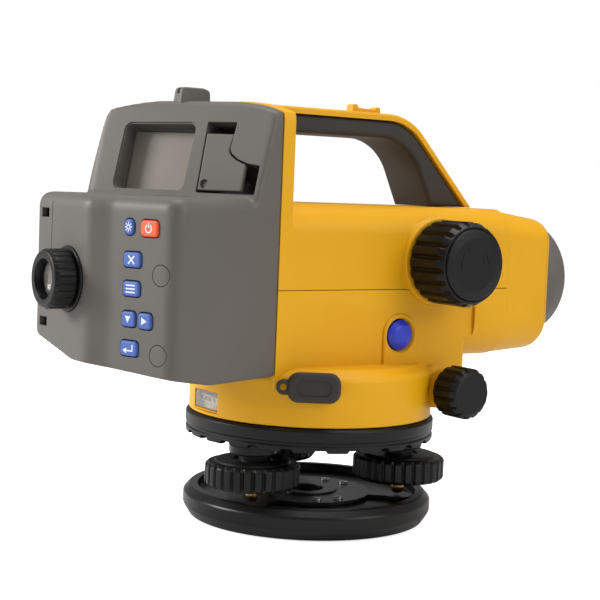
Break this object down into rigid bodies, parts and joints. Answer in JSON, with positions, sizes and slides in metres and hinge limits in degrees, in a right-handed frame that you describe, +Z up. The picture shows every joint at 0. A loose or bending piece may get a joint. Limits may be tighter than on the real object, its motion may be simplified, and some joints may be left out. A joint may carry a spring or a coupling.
{
  "type": "automatic level",
  "caption": "Electronic automatic level: telescope in a yellow casing with grey keypad housing, carrying handle, side focusing knob and three-screw levelling base.",
  "frame": {"origin": "on the vertical axis at the underside of the base plate, which is also the middle of the bounding box's bottom", "axes": "+Z up along the vertical axis, +Y forward along the telescope to the objective, +X to the side with the focusing knob"},
  "size_m": [0.128, 0.277, 0.196],
  "materials": {
    "yellow_casing": "satin yellow, fine moulded grain",
    "grey_plastic": "warm grey moulded plastic, fine texture",
    "black_plastic": "semi-matt black plastic",
    "black_metal": "semi-gloss black paint",
    "rubber": "matt dark brown-black rubber",
    "blue_plastic": "satin blue",
    "key_blue": "silicone key, blue",
    "key_orange": "silicone key, orange-red",
    "brass": "turned brass",
    "steel": "turned steel",
    "aluminium": "matt anodised",
    "glass": "coated glass",
    "scale_plastic": "off-white with black degree marks",
    "circuit_board": "green board",
    "battery_pack": "dark grey pack"
  },
  "bodies": {
    "levelling_base": {"base_plate": "black_metal", "spring_plate": "steel"},
    "head": {"levelling_head": "black_metal", "vertical_spindle": "steel"},
    "foot_screw_a": {"levelling_screw_a": "brass", "levelling_knob_a": "black_plastic"},
    "foot_screw_b": {"levelling_screw_b": "brass", "levelling_knob_b": "black_plastic"},
    "foot_screw_c": {"levelling_screw_c": "brass", "levelling_knob_c": "black_plastic"},
    "circle": {"circle_setting_ring": "black_plastic", "graduated_circle": "scale_plastic"},
    "clutch_wheel": {"worm_wheel": "brass"},
    "alidade": {"lower_casing": "yellow_casing", "circle_window": "glass", "upper_casing": "yellow_casing", "handle_band": "yellow_casing", "handle_grip": "rubber", "front_sight": "yellow_casing", "nose_cover": "yellow_casing", "objective_bezel": "grey_plastic", "rear_housing": "grey_plastic", "screw_cap_upper": "grey_plastic", "screw_cap_lower": "grey_plastic", "keypad_mat": "rubber", "display_window": "glass", "display_module": "circuit_board", "circular_vial": "glass", "rear_sight": "grey_plastic", "objective_cell": "aluminium", "objective_lens": "glass", "telescope_tube": "aluminium", "eyepiece_tube": "aluminium", "reticle": "glass", "compensator_frame": "aluminium", "beam_splitter": "glass", "sensor_board": "circuit_board", "battery": "battery_pack"},
    "fine_drive": {"fine_motion_worm": "steel", "fine_motion_knob_right": "black_plastic", "fine_motion_knob_left": "black_plastic"},
    "focus_drive": {"focus_knob": "black_plastic", "focus_knob_cap": "black_plastic", "focus_pinion_shaft": "steel"},
    "focusing_group": {"focusing_cell": "brass", "focusing_lens": "glass"},
    "dioptre_group": {"eyepiece_ring": "black_plastic", "eyepiece_lens": "glass"},
    "pendulum": {"compensator_pendulum": "steel"},
    "measure_key": {"measure_button": "blue_plastic"},
    "bubble_viewer": {"viewer_flap": "grey_plastic"},
    "port_cover": {"port_cap": "rubber"},
    "battery_cover": {"battery_door": "yellow_casing"},
    "light_key_body": {"light_key": "key_blue"},
    "power_key_body": {"power_key": "key_orange"},
    "escape_key_body": {"escape_key": "key_blue"},
    "menu_key_body": {"menu_key": "key_blue"},
    "down_key_body": {"down_key": "key_blue"},
    "right_key_body": {"right_key": "key_blue"},
    "enter_key_body": {"enter_key": "key_blue"}
  },
  "joints": [
    {"name": "knob_a_turn", "type": "hinge", "parent": "levelling_base", "child": "foot_screw_a", "pos_m": [0.01435, -0.04053, 0.0255], "axis": [0, 0, 1], "range_deg": [-304, 304]},
    {"name": "head_tilt", "type": "hinge", "parent": "levelling_base", "child": "head", "pos_m": [-0.00717, 0.02027, 0.0152], "axis": [-0.9426, -0.3338, 0], "range_deg": [-0.61, 0.61]},
    {"name": "knob_b_turn", "type": "hinge", "parent": "head", "child": "foot_screw_b", "pos_m": [0.02793, 0.0327, 0.0255], "axis": [0, 0, 1], "range_deg": [-304, 304]},
    {"name": "knob_c_turn", "type": "hinge", "parent": "head", "child": "foot_screw_c", "pos_m": [-0.04228, 0.00784, 0.0255], "axis": [0, 0, 1], "range_deg": [-304, 304]},
    {"name": "circle_turn", "type": "hinge", "parent": "head", "child": "circle", "pos_m": [0, 0, 0.047], "axis": [0, 0, 1], "continuous": true},
    {"name": "coarse_turn", "type": "hinge", "parent": "head", "child": "clutch_wheel", "pos_m": [0, 0, 0.06], "axis": [0, 0, 1], "continuous": true},
    {"name": "fine_turn", "type": "hinge", "parent": "clutch_wheel", "child": "alidade", "pos_m": [0, 0, 0.06], "axis": [0, 0, 1], "continuous": true},
    {"name": "fine_knob_turn", "type": "hinge", "parent": "alidade", "child": "fine_drive", "pos_m": [0, 0.0444, 0.0632], "axis": [1, 0, 0], "continuous": true},
    {"name": "focus_turn", "type": "hinge", "parent": "alidade", "child": "focus_drive", "pos_m": [0.05, 0.043, 0.122], "axis": [1, 0, 0], "range_deg": [-540, 540]},
    {"name": "focusing_travel", "type": "slide", "parent": "alidade", "child": "focusing_group", "axis": [0, 1, 0], "range_m": [-0.0121, 0.0121]},
    {"name": "dioptre_turn", "type": "hinge", "parent": "alidade", "child": "dioptre_group", "pos_m": [0, -0.1335, 0.112], "axis": [0, 1, 0], "range_deg": [-150, 150]},
    {"name": "pendulum_swing", "type": "hinge", "parent": "alidade", "child": "pendulum", "pos_m": [0, 0, 0.123], "axis": [1, 0, 0], "range_deg": [-0.25, 0.25]},
    {"name": "measure_press", "type": "slide", "parent": "alidade", "child": "measure_key", "axis": [-1, 0, 0], "range_m": [0, 0.0015], "stiffness_N_per_m": 400},
    {"name": "flap_open", "type": "hinge", "parent": "alidade", "child": "bubble_viewer", "pos_m": [0.02408, -0.06966, 0.15117], "axis": [0.8746, 0.4848, 0], "range_deg": [0, 55]},
    {"name": "port_cap_pull", "type": "slide", "parent": "alidade", "child": "port_cover", "axis": [0.829, -0.5592, 0], "range_m": [0, 0.008]},
    {"name": "battery_door_open", "type": "hinge", "parent": "alidade", "child": "battery_cover", "pos_m": [-0.03835, 0.0385, 0.09], "axis": [0, 0, -1], "range_deg": [0, 110]},
    {"name": "light_press", "type": "slide", "parent": "alidade", "child": "light_key_body", "axis": [-0.309, 0.9511, 0], "range_m": [0, 0.0008], "stiffness_N_per_m": 300},
    {"name": "power_press", "type": "slide", "parent": "alidade", "child": "power_key_body", "axis": [-0.309, 0.9511, 0], "range_m": [0, 0.0008], "stiffness_N_per_m": 300},
    {"name": "escape_press", "type": "slide", "parent": "alidade", "child": "escape_key_body", "axis": [-0.309, 0.9511, 0], "range_m": [0, 0.0008], "stiffness_N_per_m": 300},
    {"name": "menu_press", "type": "slide", "parent": "alidade", "child": "menu_key_body", "axis": [-0.309, 0.9511, 0], "range_m": [0, 0.0008], "stiffness_N_per_m": 300},
    {"name": "down_press", "type": "slide", "parent": "alidade", "child": "down_key_body", "axis": [-0.309, 0.9511, 0], "range_m": [0, 0.0008], "stiffness_N_per_m": 300},
    {"name": "right_press", "type": "slide", "parent": "alidade", "child": "right_key_body", "axis": [-0.309, 0.9511, 0], "range_m": [0, 0.0008], "stiffness_N_per_m": 300},
    {"name": "enter_press", "type": "slide", "parent": "alidade", "child": "enter_key_body", "axis": [-0.309, 0.9511, 0], "range_m": [0, 0.0008], "stiffness_N_per_m": 300}
  ],
  "couplings": [
    {"joint": "head_tilt", "follows": "knob_a_turn", "ratio": 0.0019737},
    {"joint": "fine_turn", "follows": "fine_knob_turn", "ratio": 0.011111},
    {"joint": "focusing_travel", "follows": "focus_turn", "m_per_rad": 0.0012732}
  ]
}
